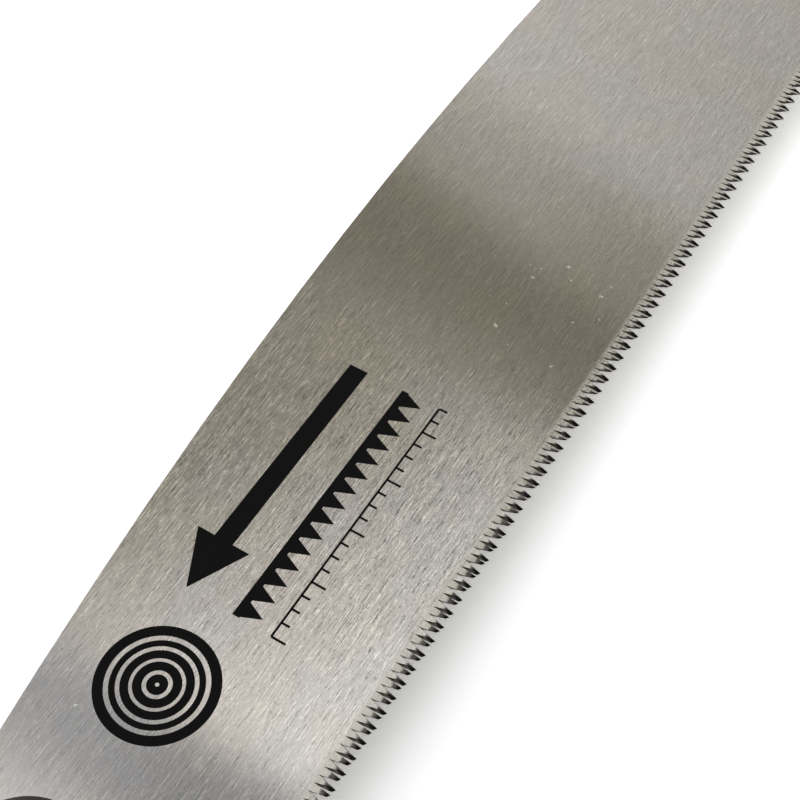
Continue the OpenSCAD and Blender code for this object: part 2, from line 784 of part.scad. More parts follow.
// Sleeve nuts, let into the lower scale
module body_nuts() {
    seat = crown_z - screw_sink;
    color("#4a4a4c") at_rest() on_side(-1) for (p = screw_places) translate([p[0], p[1], 0]) difference() {
        union() {
            translate([0, 0, seat]) head(screw_head_r, screw_head_h);
            drill([0, 0], sleeve_r, scale_z + sleeve_gap, seat + past);
        }
        drill([0, 0], screw_r + seat_fit, 0, seat + socket_floor);
        translate([-1.5 * screw_head_r, -nut_slot_w / 2, seat + screw_head_h - nut_slot_d])
            cube([3 * screw_head_r, nut_slot_w, nut_slot_d + past]);
    }
}

// Flanged tube through the butt
module hang_eyelet() {
    top = crown_z - flange_sink;
    outer = eyelet_r + eyelet_wall;
    color("silver") at_rest() translate([eyelet_at[0], eyelet_at[1], 0]) rotate_extrude() polygon([
        [eyelet_r, -top], [flange_r, -top], [flange_r, flange_t - top], [outer, flange_t - top],
        [outer, top - flange_t], [flange_r, top - flange_t], [flange_r, top], [eyelet_r, top]
    ]);
}

blade();
upper_liner();
lower_liner();
upper_scale();
lower_scale();
upper_grip();
lower_grip();
spine_spacer();
front_spacer();
butt_spacer();
toe_bumper();
pivot_bolt();
pivot_nut();
pivot_bush();
pivot_washers();
spring_washer();
stop_pin();
lock_lever();
lever_pad();
lever_pin();
lock_spring();
body_screws();
body_nuts();
hang_eyelet();
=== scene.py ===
import json
import math

import bmesh
import bpy
from mathutils import Matrix, Vector


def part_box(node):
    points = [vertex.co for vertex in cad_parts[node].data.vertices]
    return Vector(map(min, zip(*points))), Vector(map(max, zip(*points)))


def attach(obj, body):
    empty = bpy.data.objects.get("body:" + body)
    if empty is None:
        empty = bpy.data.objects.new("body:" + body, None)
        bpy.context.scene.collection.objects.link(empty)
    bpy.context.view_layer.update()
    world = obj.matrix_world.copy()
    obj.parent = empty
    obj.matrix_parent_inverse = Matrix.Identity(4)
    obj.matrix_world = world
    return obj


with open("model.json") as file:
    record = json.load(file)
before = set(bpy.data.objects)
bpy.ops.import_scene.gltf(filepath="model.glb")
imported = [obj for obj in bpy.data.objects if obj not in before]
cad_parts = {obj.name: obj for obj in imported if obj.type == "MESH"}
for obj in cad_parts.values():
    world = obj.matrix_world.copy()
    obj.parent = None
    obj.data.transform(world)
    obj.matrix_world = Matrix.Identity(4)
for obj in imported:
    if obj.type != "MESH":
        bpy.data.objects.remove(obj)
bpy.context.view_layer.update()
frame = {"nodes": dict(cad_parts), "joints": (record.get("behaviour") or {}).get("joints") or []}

# Folding pull saw, lying open on its side on a white table.
# +X runs from the handle to the toe of the blade, +Y to the back of the blade, +Z up.

# Frame and sizes, in metres
MM = 0.001
nodes = frame["nodes"]
pivot = Vector(next(j["pos_m"] for j in frame["joints"] if j["name"] == "blade_fold"))
tooth_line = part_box("blade")[0].y
plate_t = 0.7 * MM
plate_top = pivot.z + plate_t / 2
tooth_pitch = 1.25 * MM
first_tooth = 24 * MM


# Shader building blocks

def feed(tree, socket, value):
    """Links a socket to the one that is given, or sets it to a plain value."""
    if isinstance(value, bpy.types.NodeSocket):
        tree.links.new(value, socket)
    else:
        socket.default_value = value


def add(tree, kind, inputs=None, **settings):
    """Adds a shader node with its settings, and feeds its inputs."""
    node = tree.nodes.new("ShaderNode" + kind)
    for name, value in settings.items():
        setattr(node, name, value)
    for key, value in (inputs or {}).items():
        feed(tree, node.inputs[key], value)
    return node


def maths(tree, operation, *values):
    """Output of a Math node."""
    return add(tree, "Math", dict(enumerate(values)), operation=operation).outputs[0]


def times(tree, first, *others):
    """Product of two or more values."""
    for value in others:
        first = maths(tree, "MULTIPLY", first, value)
    return first


def scaled(tree, value, by, plus):
    """A value times a factor, plus another value."""
    return maths(tree, "MULTIPLY_ADD", value, by, plus)


def ramp(tree, value, start, end, low=0.0, high=1.0, kind="SMOOTHSTEP"):
    """A value that runs from low at start to high at end, eased unless it is LINEAR."""
    inputs = {"Value": value, "From Min": start, "From Max": end, "To Min": low, "To Max": high}
    return add(tree, "MapRange", inputs, interpolation_type=kind).outputs[0]


def vector_maths(tree, operation, *values):
    """Outputs of a Vector Math node."""
    return add(tree, "VectorMath", dict(enumerate(values)), operation=operation).outputs


def shaded(tree, tone, shade):
    """A colour times a shade."""
    return add(tree, "VectorMath", {0: tone, "Scale": shade}, operation="SCALE").outputs[0]


def mixed(tree, share, first, second):
    """A colour between two, each of them a socket or red, green and blue."""
    pair = [tone if isinstance(tone, bpy.types.NodeSocket) else (*tone, 1.0) for tone in (first, second)]
    # Inputs 6 and 7 and output 2 are the ones for colours
    return add(tree, "Mix", {0: share, 6: pair[0], 7: pair[1]}, data_type="RGBA").outputs[2]


# The level around which a noise texture varies
NOISE_MIDDLE = 0.5


def noise(tree, vector, scale, detail, roughness=0.5):
    """Outputs of a noise texture."""
    inputs = {"Vector": vector, "Scale": scale, "Detail": detail, "Roughness": roughness}
    return add(tree, "TexNoise", inputs).outputs


def new_group(name, inputs, outputs):
    """An empty shader node group, with its input and output nodes."""
    tree = bpy.data.node_groups.new(name, "ShaderNodeTree")
    for label, kind, value in inputs:
        socket = tree.interface.new_socket(label, in_out="INPUT", socket_type="NodeSocket" + kind)
        if value is not None:
            socket.default_value = value
    for label, kind in outputs:
        tree.interface.new_socket(label, in_out="OUTPUT", socket_type="NodeSocket" + kind)
    return tree, tree.nodes.new("NodeGroupInput"), tree.nodes.new("NodeGroupOutput")


def use_group(tree, group, **inputs):
    """Outputs of a group, placed in a tree with its own values."""
    return add(tree, "Group", inputs, node_tree=group).outputs


# Effects that several finishes share

# Long, middling and short scratches: how far each kind is stretched, and its share in the sum
SCRATCH_KINDS = ((2.6, 0.66), (0.8, 0.58), (0.25, 0.54))


def grain_group():
    """Grain of brushed steel along X: scratches of a given width, longer and shorter than a length."""
    tree, start, end = new_group(
        "brushed_grain",
        [("Vector", "Vector", None), ("Width", "Float", 0.2 * MM), ("Length", "Float", 3 * MM)],
        [("Fine", "Float"), ("Broad", "Float"), ("Lines", "Float")],
    )
    along = maths(tree, "DIVIDE", 1.0, start.outputs["Length"])
    across = maths(tree, "DIVIDE", 1.0, start.outputs["Width"])
    rate = add(tree, "CombineXYZ", {"X": along, "Y": across, "Z": across}).outputs[0]
    stretched = vector_maths(tree, "MULTIPLY", start.outputs["Vector"], rate)[0]
    broad = noise(tree, stretched, scale=0.22, detail=3.0, roughness=0.6)["Fac"]
    feed(tree, end.inputs["Broad"], broad)
    fine = NOISE_MIDDLE
    for stretch, share in SCRATCH_KINDS:
        placed = add(tree, "Mapping", {"Vector": stretched, "Scale": (1 / stretch, 1.0, 1.0)}).outputs[0]
        level = noise(tree, placed, scale=1.0, detail=1.0, roughness=0.6)["Fac"]
        fine = scaled(tree, maths(tree, "SUBTRACT", level, NOISE_MIDDLE), by=share, plus=fine)
    feed(tree, end.inputs["Fine"], fine)
    # Separate bright lines above 0 and fainter dark ones below it
    bright = ramp(tree, fine, start=0.52, end=0.74, high=0.93)
    dark = ramp(tree, fine, start=0.48, end=0.26, high=0.8)
    feed(tree, end.inputs["Lines"], maths(tree, "SUBTRACT", bright, dark))
    return tree


def wear_group():
    """Rubbed edges: 1 where the surface turns within a width, broken up by noise."""
    tree, start, end = new_group(
        "edge_wear",
        [("Vector", "Vector", None), ("Width", "Float", 0.4 * MM), ("Patch", "Float", 6 * MM)],
        [("Mask", "Float")],
    )
    bevel = add(tree, "Bevel", {"Radius": start.outputs["Width"]}, samples=6).outputs[0]
    normal = add(tree, "NewGeometry").outputs["True Normal"]
    facing = vector_maths(tree, "DOT_PRODUCT", bevel, normal)["Value"]
    edge = ramp(tree, facing, start=0.985, end=0.86)
    scale = maths(tree, "DIVIDE", 1.0, start.outputs["Patch"])
    patches = noise(tree, start.outputs["Vector"], scale, detail=5.0)["Fac"]
    feed(tree, end.inputs["Mask"], times(tree, edge, ramp(tree, patches, start=0.42, end=0.66)))
    return tree


def mould_group():
    """Spark-eroded mould texture: pits of a given size, and the slow changes of a moulding's gloss."""
    tree, start, end = new_group(
        "moulded_texture",
        [("Vector", "Vector", None), ("Pit", "Float", 0.35 * MM), ("Cloud", "Float", 18 * MM)],
        [("Height", "Float"), ("Gloss", "Float")],
    )
    for size, detail, result in (("Pit", 3.0, "Height"), ("Cloud", 4.0, "Gloss")):
        scale = maths(tree, "DIVIDE", 1.0, start.outputs[size])
        feed(tree, end.inputs[result], noise(tree, start.outputs["Vector"], scale, detail)["Fac"])
    return tree


grain = grain_group()
wear = wear_group()
mould = mould_group()


# Finishes, with their tones as red, green and blue

def new_material(name, **values):
    """A material with its tree, its Principled shader and the object's own coordinates."""
    material = bpy.data.materials.new(name)
    material.use_nodes = True
    tree = material.node_tree
    tree.nodes.clear()
    shader = add(tree, "BsdfPrincipled")
    for label, value in values.items():
        shader.inputs[label.replace("_", " ")].default_value = value
    add(tree, "OutputMaterial", {"Surface": shader.outputs[0]})
    place = add(tree, "TexCoord").outputs["Object"]
    return material, tree, shader, place


def bump(tree, shader, height, depth, strength=1.0):
    """Turns a height from 0 to 1 into a normal, for a relief of a given depth in metres."""
    node = add(tree, "Bump", {"Height": height, "Distance": depth, "Strength": strength})
    feed(tree, shader.inputs["Normal"], node.outputs[0])


STEEL_WARM = (0.564, 0.525, 0.475)
STEEL_COOL = (0.548, 0.522, 0.492)
SPECK_BRIGHT = (0.85, 0.84, 0.8)
# Cream of the ground edge, partly a painted highlight
GROUND_AND_HIGHLIGHT_TONE = (0.74, 0.71, 0.64)
BURNT_AT_HEEL = (0.15, 0.137, 0.127)
BURNT_AT_TOE = (0.05, 0.046, 0.043)
# Black of the hardened points and of the bevels in painted shade
POINT_AND_SHADE_BLACK = (0.012, 0.012, 0.013)
RUBBED_STEEL = (0.72, 0.71, 0.69)


def blade_grain(tree, along, streaks):
    """Shade of the grain, which is strongest on the half towards the handle, but not at the heel."""
    heel_depth = ramp(tree, along, start=30 * MM, end=70 * MM, low=0.33, high=0.86, kind="LINEAR")
    toe_depth = ramp(tree, along, start=96 * MM, end=122 * MM, low=0.8, high=0.28)
    toe_depth = maths(tree, "ADD", toe_depth, ramp(tree, along, start=132 * MM, end=160 * MM, high=0.1))
    patches = ramp(tree, streaks["Broad"], start=0.35, end=0.6, low=0.6, high=1.3)
    depth = times(tree, heel_depth, toe_depth, patches)
    broad = maths(tree, "SUBTRACT", streaks["Broad"], NOISE_MIDDLE)
    return scaled(tree, streaks["Lines"], by=depth, plus=scaled(tree, broad, by=0.12, plus=1.0))


def blade_specks(tree, place, scratches):
    """Specks left by handling: a cluster in the middle of the blade, and strays."""
    spread = (1.0 * MM, 1.0 * MM, 0.0)
    ragged = vector_maths(tree, "MULTIPLY_ADD", scratches["Color"], spread, place)[0]
    cells = add(tree, "TexVoronoi", {"Vector": ragged, "Scale": 420.0}, voronoi_dimensions="2D").outputs
    lots = add(tree, "SeparateColor", {0: cells["Color"]}).outputs
    radius = ramp(tree, lots["Green"], start=0.0, end=1.0, low=0.05, high=0.16, kind="LINEAR")
    near = ramp(tree, maths(tree, "DIVIDE", cells["Distance"], radius), start=1.0, end=0.4)
    bare_share = 0.8
    few = maths(tree, "GREATER_THAN", lots["Red"], bare_share)
    middle = (pivot.x + 128 * MM, tooth_line + 13 * MM, plate_top)
    apart = vector_maths(tree, "DISTANCE", place, middle)["Value"]
    strays = ramp(tree, noise(tree, place, scale=38.0, detail=1.0)["Fac"], start=0.68, end=0.74)
    cluster = maths(tree, "MAXIMUM", ramp(tree, apart, start=13 * MM, end=9 * MM), strays)
    return times(tree, near, few, cluster)


def tooth_marks(tree, place, along, rise):
    """Mask and tone of what is dark on the teeth: their hardened points, their flanks with painted shade, and
    bevels facing the handle in painted shade. Towards the toe, a painted highlight leaves one side of each
    flat face bright.
    """
    stain = noise(tree, place, scale=900.0, detail=2.0)["Fac"]
    reach = scaled(tree, stain, by=-0.8 * MM, plus=rise)
    hardened = ramp(tree, reach, start=1.35 * MM, end=0.85 * MM)
    normal = add(tree, "TexCoord").outputs["Normal"]
    facing = add(tree, "SeparateXYZ", {0: normal}).outputs
    upright = maths(tree, "ABSOLUTE", facing["Z"])
    # Steep flanks near the teeth are darkened: partly hardening, partly painted shade for the shadowed table
    # they would mirror
    steep = ramp(tree, upright, start=0.75, end=0.45)
    flank_burn_and_shade = times(tree, steep, ramp(tree, rise, start=3.4 * MM, end=2.9 * MM))
    # Towards the toe one side of each flat tooth face is left out of the black, as a painted highlight
    tooth = maths(tree, "DIVIDE", maths(tree, "SUBTRACT", along, first_tooth), tooth_pitch)
    highlight_side = ramp(tree, maths(tree, "FRACT", tooth), start=0.48, end=0.6, high=0.85)
    flat = ramp(tree, upright, start=0.94, end=0.98)
    spared_for_highlight = times(tree, highlight_side, flat, ramp(tree, along, start=82 * MM, end=112 * MM))
    hardened = times(tree, hardened, maths(tree, "SUBTRACT", 1.0, spared_for_highlight))
    # Points are black from hardening, and the bevels that face the handle are painted black as painted shade
    off_flat = ramp(tree, upright, start=0.94, end=0.86)
    off_flank = ramp(tree, upright, start=0.6, end=0.72)
    handle_bevel_shade = times(tree, off_flat, off_flank, maths(tree, "LESS_THAN", facing["X"], 0.0))
    point = maths(tree, "MAXIMUM", handle_bevel_shade, ramp(tree, reach, start=0.75 * MM, end=0.1 * MM))
    # The rest of the hardening is darker towards the toe
    toeward = ramp(tree, along, start=60 * MM, end=140 * MM)
    burnt = mixed(tree, toeward, BURNT_AT_HEEL, BURNT_AT_TOE)
    return maths(tree, "MAXIMUM", hardened, flank_burn_and_shade), mixed(tree, point, burnt, POINT_AND_SHADE_BLACK)


def blade_steel():
    """Bright spring steel with its grain along the blade, and teeth darkened by hardening and by painted
    shade.
    """
    material, tree, shader, place = new_material("blade_steel", Metallic=1.0, Anisotropic=0.7)
    axes = add(tree, "SeparateXYZ", {0: place}).outputs
    along = maths(tree, "SUBTRACT", axes["X"], pivot.x)
    rise = maths(tree, "SUBTRACT", axes["Y"], tooth_line)
    streaks = use_group(tree, grain, Vector=place, Width=0.16 * MM, Length=2.0 * MM)
    tint = noise(tree, place, scale=70.0, detail=2.0)["Fac"]
    steel = mixed(tree, ramp(tree, tint, start=0.4, end=0.6), STEEL_WARM, STEEL_COOL)
    tone = shaded(tree, steel, blade_grain(tree, along, streaks))
    scratches = noise(tree, place, scale=2600.0, detail=1.0)
    specks = blade_specks(tree, place, scratches)
    tone = mixed(tree, specks, tone, SPECK_BRIGHT)
    # The edge above the dark of the teeth is ground bright, and its cream tone is partly a painted highlight
    patchy = ramp(tree, scratches["Fac"], start=0.35, end=0.65, low=0.3)
    ground_and_highlight = times(tree, ramp(tree, rise, start=3.5 * MM, end=2.4 * MM), patchy)
    tone = mixed(tree, ground_and_highlight, tone, GROUND_AND_HIGHLIGHT_TONE)
    dark, dark_tone = tooth_marks(tree, place, along, rise)
    feed(tree, shader.inputs["Base Color"], mixed(tree, dark, tone, dark_tone))
    rough = scaled(tree, streaks["Fine"], by=0.08, plus=0.09)
    rough = scaled(tree, maths(tree, "MAXIMUM", ground_and_highlight, specks), by=0.3, plus=rough)
    feed(tree, shader.inputs["Roughness"], scaled(tree, dark, by=0.2, plus=rough))
    bump(tree, shader, streaks["Fine"], depth=0.004 * MM, strength=0.5)
    # Highlights are drawn out across the grain
    across = add(tree, "CombineXYZ", {"Y": 1.0}).outputs[0]
    turned = add(
        tree, "VectorTransform", {0: across}, vector_type="VECTOR", convert_from="OBJECT", convert_to="WORLD")
    feed(tree, shader.inputs["Tangent"], turned.outputs[0])
    return material


def satin_steel(name, tone, roughness, width=0.3 * MM, length=6 * MM):
    """Steel sheet or pin with a plain satin grain and bright rubbed edges."""
    material, tree, shader, place = new_material(name, Metallic=1.0)
    streaks = use_group(tree, grain, Vector=place, Width=width, Length=length)
    rubbed = use_group(tree, wear, Vector=place, Width=0.25 * MM)["Mask"]
    toned = shaded(tree, tone, scaled(tree, streaks["Fine"], by=0.5, plus=0.75))
    feed(tree, shader.inputs["Base Color"], mixed(tree, rubbed, toned, RUBBED_STEEL))
    feed(tree, shader.inputs["Roughness"], scaled(tree, streaks["Broad"], by=0.25, plus=roughness - 0.12))
    bump(tree, shader, streaks["Fine"], depth=0.006 * MM, strength=0.5)
    return material


def moulded_plastic(name, tone, roughness, pit, depth, worn, shine=0.3):
    """Moulded plastic with a spark-eroded texture, paler where hands rub its edges."""
    material, tree, shader, place = new_material(name, Specular_IOR_Level=shine)
    texture = use_group(tree, mould, Vector=place, Pit=pit)
    rubbed = use_group(tree, wear, Vector=place, Width=0.6 * MM)["Mask"]
    toned = shaded(tree, tone, scaled(tree, texture["Gloss"], by=0.5, plus=0.75))
    feed(tree, shader.inputs["Base Color"], mixed(tree, rubbed, toned, worn))
    matt = scaled(tree, texture["Gloss"], by=0.3, plus=roughness - 0.15)
    feed(tree, shader.inputs["Roughness"], scaled(tree, rubbed, by=-0.12, plus=matt))
    bump(tree, shader, texture["Height"], depth)
    return material


def black_steel():
    """Chemically blackened steel, worn to bright metal on its edges."""
    material, tree, shader, place = new_material("black_steel", Metallic=1.0)
    rubbed = use_group(tree, wear, Vector=place, Width=0.35 * MM, Patch=2 * MM)["Mask"]
    texture = use_group(tree, mould, Vector=place, Pit=0.25 * MM, Cloud=5 * MM)
    blued = (0.035, 0.036, 0.04)
    brown = (0.075, 0.073, 0.07)
    bright = (0.42, 0.41, 0.4)
    dark = mixed(tree, texture["Gloss"], blued, brown)
    feed(tree, shader.inputs["Base Color"], mixed(tree, rubbed, dark, bright))
    feed(tree, shader.inputs["Roughness"], scaled(tree, texture["Gloss"], by=0.25, plus=0.24))
    bump(tree, shader, texture["Height"], depth=0.01 * MM, strength=0.4)
    return material


def printed_ink():
    """Screen-printed black, thin enough for the grain of the steel to show in it."""
    material, tree, shader, place = new_material("print_ink", Specular_IOR_Level=0.04)
    streaks = use_group(tree, grain, Vector=place, Width=0.13 * MM, Length=1.5 * MM)
    thick = (0.003, 0.003, 0.003)
    thin = (0.008, 0.008, 0.008)
    feed(tree, shader.inputs["Base Color"], mixed(tree, streaks["Fine"], thick, thin))
    feed(tree, shader.inputs["Roughness"], scaled(tree, streaks["Broad"], by=0.2, plus=0.45))
    bump(tree, shader, streaks["Fine"], depth=0.004 * MM, strength=0.4)
    return material


SATIN_STEELS = {
    "liner_steel": dict(tone=(0.5, 0.5, 0.49), roughness=0.36),
    "lever_steel": dict(tone=(0.55, 0.545, 0.53), roughness=0.3),
    "pin_steel": dict(tone=(0.5, 0.495, 0.48), roughness=0.3, width=0.15 * MM, length=1 * MM),
    "spring_steel": dict(tone=(0.26, 0.28, 0.34), roughness=0.3),
    "eyelet_metal": dict(tone=(0.66, 0.64, 0.6), roughness=0.22, width=0.1 * MM, length=0.6 * MM),
    "bush_bronze": dict(tone=(0.55, 0.36, 0.16), roughness=0.34, width=0.1 * MM, length=0.6 * MM),
}
MOULDED_PLASTICS = {
    "scale_plastic": dict(
        tone=(0.009, 0.009, 0.01), roughness=0.42, pit=0.5 * MM, depth=0.08 * MM, worn=(0.05, 0.05, 0.052),
        shine=0.12),
    "pad_plastic": dict(
        tone=(0.02, 0.02, 0.022), roughness=0.42, pit=0.3 * MM, depth=0.02 * MM, worn=(0.08, 0.08, 0.082)),
    "spacer_plastic": dict(
        tone=(0.04, 0.04, 0.042), roughness=0.5, pit=0.4 * MM, depth=0.02 * MM, worn=(0.09, 0.09, 0.09)),
    "grip_rubber": dict(
        tone=(0.042, 0.042, 0.045), roughness=0.7, pit=0.3 * MM, depth=0.05 * MM, worn=(0.075, 0.075, 0.077)),
    "bumper_rubber": dict(
        tone=(0.02, 0.02, 0.02), roughness=0.75, pit=0.2 * MM, depth=0.02 * MM, worn=(0.035, 0.035, 0.035)),
    "washer_plastic": dict(
        tone=(0.7, 0.66, 0.55), roughness=0.4, pit=0.3 * MM, depth=0.008 * MM, worn=(0.75, 0.72, 0.63)),
}
FINISHES = {"blade_steel": blade_steel(), "black_steel": black_steel(), "print_ink": printed_ink()}
for name, values in SATIN_STEELS.items():
    FINISHES[name] = satin_steel(name, **values)
for name, values in MOULDED_PLASTICS.items():
    FINISHES[name] = moulded_plastic(name, **values)


# CAD nodes: welded, edges eased, and shaded smooth across shallow angles

WELD_WITHIN = 0.001 * MM
SMOOTH_BELOW = math.radians(32)
EASE_ABOVE = math.radians(40)
EASE_SEGMENTS = 2


def smooth_by_angle(limit):
    """Geometry nodes that shade a mesh smooth and keep edges sharper than the limit."""
    tree = bpy.data.node_groups.new("smooth_by_angle", "GeometryNodeTree")
    tree.interface.new_socket("Geometry", in_out="INPUT", socket_type="NodeSocketGeometry")
    tree.interface.new_socket("Geometry", in_out="OUTPUT", socket_type="NodeSocketGeometry")
    start = tree.nodes.new("NodeGroupInput")
    end = tree.nodes.new("NodeGroupOutput")
    angle = tree.nodes.new("GeometryNodeInputMeshEdgeAngle")
    shallow = tree.nodes.new("FunctionNodeCompare")
    shallow.operation = "LESS_EQUAL"
    shallow.inputs["B"].default_value = limit
    tree.links.new(angle.outputs["Unsigned Angle"], shallow.inputs["A"])
    faces = tree.nodes.new("GeometryNodeSetShadeSmooth")
    edges = tree.nodes.new("GeometryNodeSetShadeSmooth")
    edges.domain = "EDGE"
    tree.links.new(start.outputs[0], faces.inputs["Geometry"])
    tree.links.new(faces.outputs[0], edges.inputs["Geometry"])
    tree.links.new(shallow.outputs[0], edges.inputs["Shade Smooth"])
    tree.links.new(edges.outputs[0], end.inputs[0])
    return tree


smoothing = smooth_by_angle(SMOOTH_BELOW)


def dress(node_name, finish, ease):
    """Gives a CAD node its finish, and eases its edges by a width in metres."""
    piece = nodes[node_name]
    piece.data.materials.clear()
    piece.data.materials.append(FINISHES[finish])
    weld = piece.modifiers.new("weld", "WELD")
    weld.merge_threshold = WELD_WITHIN
    if ease:
        bevel = piece.modifiers.new("eased_edges", "BEVEL")
        bevel.width = ease
        bevel.segments = EASE_SEGMENTS
        bevel.limit_method = "ANGLE"
        bevel.angle_limit = EASE_ABOVE
    shading = piece.modifiers.new("smooth_by_angle", "NODES")
    shading.node_group = smoothing


# Finish of each node, and how far its edges are eased
DRESSING = {
    "blade": ("blade_steel", 0.0),
    "upper_liner": ("liner_steel", 0.1 * MM),
    "lower_liner": ("liner_steel", 0.1 * MM),
    "upper_scale": ("scale_plastic", 0.2 * MM),
    "lower_scale": ("scale_plastic", 0.2 * MM),
    "upper_grip": ("grip_rubber", 0.3 * MM),
    "lower_grip": ("grip_rubber", 0.3 * MM),
    "spine_spacer": ("spacer_plastic", 0.1 * MM),
    "front_spacer": ("spacer_plastic", 0.1 * MM),
    "butt_spacer": ("spacer_plastic", 0.1 * MM),
    "toe_bumper": ("bumper_rubber", 0.2 * MM),
    "pivot_bolt": ("black_steel", 0.1 * MM),
    "pivot_nut": ("black_steel", 0.1 * MM),
    "pivot_bush": ("bush_bronze", 0.1 * MM),
    "pivot_washers": ("washer_plastic", 0.05 * MM),
    "spring_washer": ("spring_steel", 0.05 * MM),
    "stop_pin": ("pin_steel", 0.2 * MM),
    "lock_lever": ("lever_steel", 0.1 * MM),
    "lever_pad": ("pad_plastic", 0.3 * MM),
    "lever_pin": ("pin_steel", 0.2 * MM),
    "lock_spring": ("spring_steel", 0.05 * MM),
    "body_screws": ("black_steel", 0.08 * MM),
    "body_nuts": ("black_steel", 0.08 * MM),
    "hang_eyelet": ("eyelet_metal", 0.12 * MM),
}
for node_name, (finish, ease) in DRESSING.items():
    dress(node_name, finish, ease)


# Print on the upper face of the blade

# Growth rings of a log, an arrow for the pull stroke, a strip of teeth and a rule.
# X runs along the blade and Y across it, in millimetres from the pivot.
PRINT_T = 0.02
RINGS_X = 43.0
RINGS_Y = 9.0
RING_RADII = ((0.3, 1.5), (2.1, 3.4), (3.9, 5.1), (5.7, 6.6), (7.3, 8.8))
RING_STEPS = 72
ARROW_Y = 14.5
HEAD_X = 63.0
HEAD_SIZE = 9.0
SHAFT_X = 66.0
SHAFT_LENGTH = 36.0
SHAFT_WIDTH = 3.2
STRIP_X = 57.0
STRIP_LENGTH = 45.0
STRIP_Y = 6.0
STRIP_WIDTH = 1.2
PRINTED_TEETH = 15
PRINTED_PITCH = STRIP_LENGTH / PRINTED_TEETH
PRINTED_TOOTH_Y = 4.4
PRINTED_TOOTH_LENGTH = 3.0
PRINTED_TOOTH_WIDTH = 2.6
RULE_Y = 0.0
RULE_WIDTH = 0.35
MARKS = 19
MARK_STEP = STRIP_LENGTH / (MARKS - 1)
MARK_WIDTH = 0.36
SHORT_MARK = 1.4
LONG_MARK = 2.4
STEPS_PER_LONG_MARK = 4


def print_bar(shape, x, y, length, width):
    """Flat bar from x onwards."""
    place = Matrix.Translation((x + length / 2, y, 0)) @ Matrix.Diagonal((length / 2, width / 2, 1, 1))
    bmesh.ops.create_grid(shape, x_segments=1, y_segments=1, size=1, matrix=place)


def print_point(shape, x, y, length, width, turn):
    """Flat triangle, length long from its base to its point, turned from +X by an angle in degrees."""
    place = Matrix.Translation((x, y, 0)) @ Matrix.Rotation(math.radians(turn), 4, "Z")
    # A triangle in a circle of radius 1 is 1.5 long and the root of 3 wide
    place = place @ Matrix.Diagonal((length / 1.5, width / math.sqrt(3), 1, 1))
    place = place @ Matrix.Rotation(math.radians(-90), 4, "Z")
    bmesh.ops.create_circle(shape, cap_ends=True, segments=3, radius=1, matrix=place)


def print_ring(shape, x, y, inner, outer):
    """Flat ring, spun from an edge between its two radii."""
    ends = [shape.verts.new((x + r, y, 0)) for r in (inner, outer)]
    edge = shape.edges.new(ends)
    turn = dict(cent=(x, y, 0), axis=(0, 0, 1), angle=2 * math.pi, steps=RING_STEPS, use_merge=True)
    bmesh.ops.spin(shape, geom=ends + [edge], **turn)


def blade_print():
    """All of the print as one thin piece that rides on the blade."""
    shape = bmesh.new()
    for inner, outer in RING_RADII:
        print_ring(shape, RINGS_X, RINGS_Y, inner, outer)
    # The arrow points to the handle
    print_point(shape, HEAD_X, ARROW_Y, HEAD_SIZE, HEAD_SIZE, turn=180.0)
    print_bar(shape, SHAFT_X, ARROW_Y, SHAFT_LENGTH, SHAFT_WIDTH)
    # The teeth point to the toothed edge
    print_bar(shape, STRIP_X, STRIP_Y, STRIP_LENGTH, STRIP_WIDTH)
    for tooth in range(PRINTED_TEETH):
        tooth_x = STRIP_X + (tooth + 0.5) * PRINTED_PITCH
        print_point(
            shape, tooth_x, PRINTED_TOOTH_Y, PRINTED_TOOTH_LENGTH, PRINTED_TOOTH_WIDTH, turn=-90.0)
    # The rule has a long mark every ten millimetres
    print_bar(shape, STRIP_X, RULE_Y, STRIP_LENGTH, RULE_WIDTH)
    for mark in range(MARKS):
        height = SHORT_MARK if mark % STEPS_PER_LONG_MARK else LONG_MARK
        mark_x = STRIP_X + mark * MARK_STEP - MARK_WIDTH / 2
        print_bar(shape, mark_x, RULE_Y - height / 2, MARK_WIDTH, height)
    raised = bmesh.ops.extrude_face_region(shape, geom=shape.faces[:])
    tops = [item for item in raised["geom"] if isinstance(item, bmesh.types.BMVert)]
    bmesh.ops.translate(shape, verts=tops, vec=(0, 0, PRINT_T))
    bmesh.ops.recalc_face_normals(shape, faces=shape.faces[:])
    origin = Vector((pivot.x, pivot.y, plate_top))
    bmesh.ops.transform(shape, matrix=Matrix.Translation(origin) @ Matrix.Scale(MM, 4), verts=shape.verts[:])
    mesh = bpy.data.meshes.new("blade_print")
    shape.to_mesh(mesh)
    shape.free()
    mesh.materials.append(FINISHES["print_ink"])
    piece = bpy.data.objects.new("blade_print", mesh)
    bpy.context.scene.collection.objects.link(piece)
    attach(piece, "blade")


blade_print()


# Stage: a white table under a studio sky of soft panels with a gap between them

STRIPE_TINT = (0.96, 1.0, 1.06)
PANEL_TINT = (1.0, 1.0, 1.0)
GAP_TINT = (1.03, 1.0, 0.82)
TABLE_GREY = (0.82, 0.82, 0.82)
PAPER_TINT = (0.99, 1.0, 1.032)
# Half of the table's side, in metres
TABLE_HALF = 40.0
# Ray depth up to which the table is seen, directly or in a first reflection
SEEN_DEPTH = 1.5


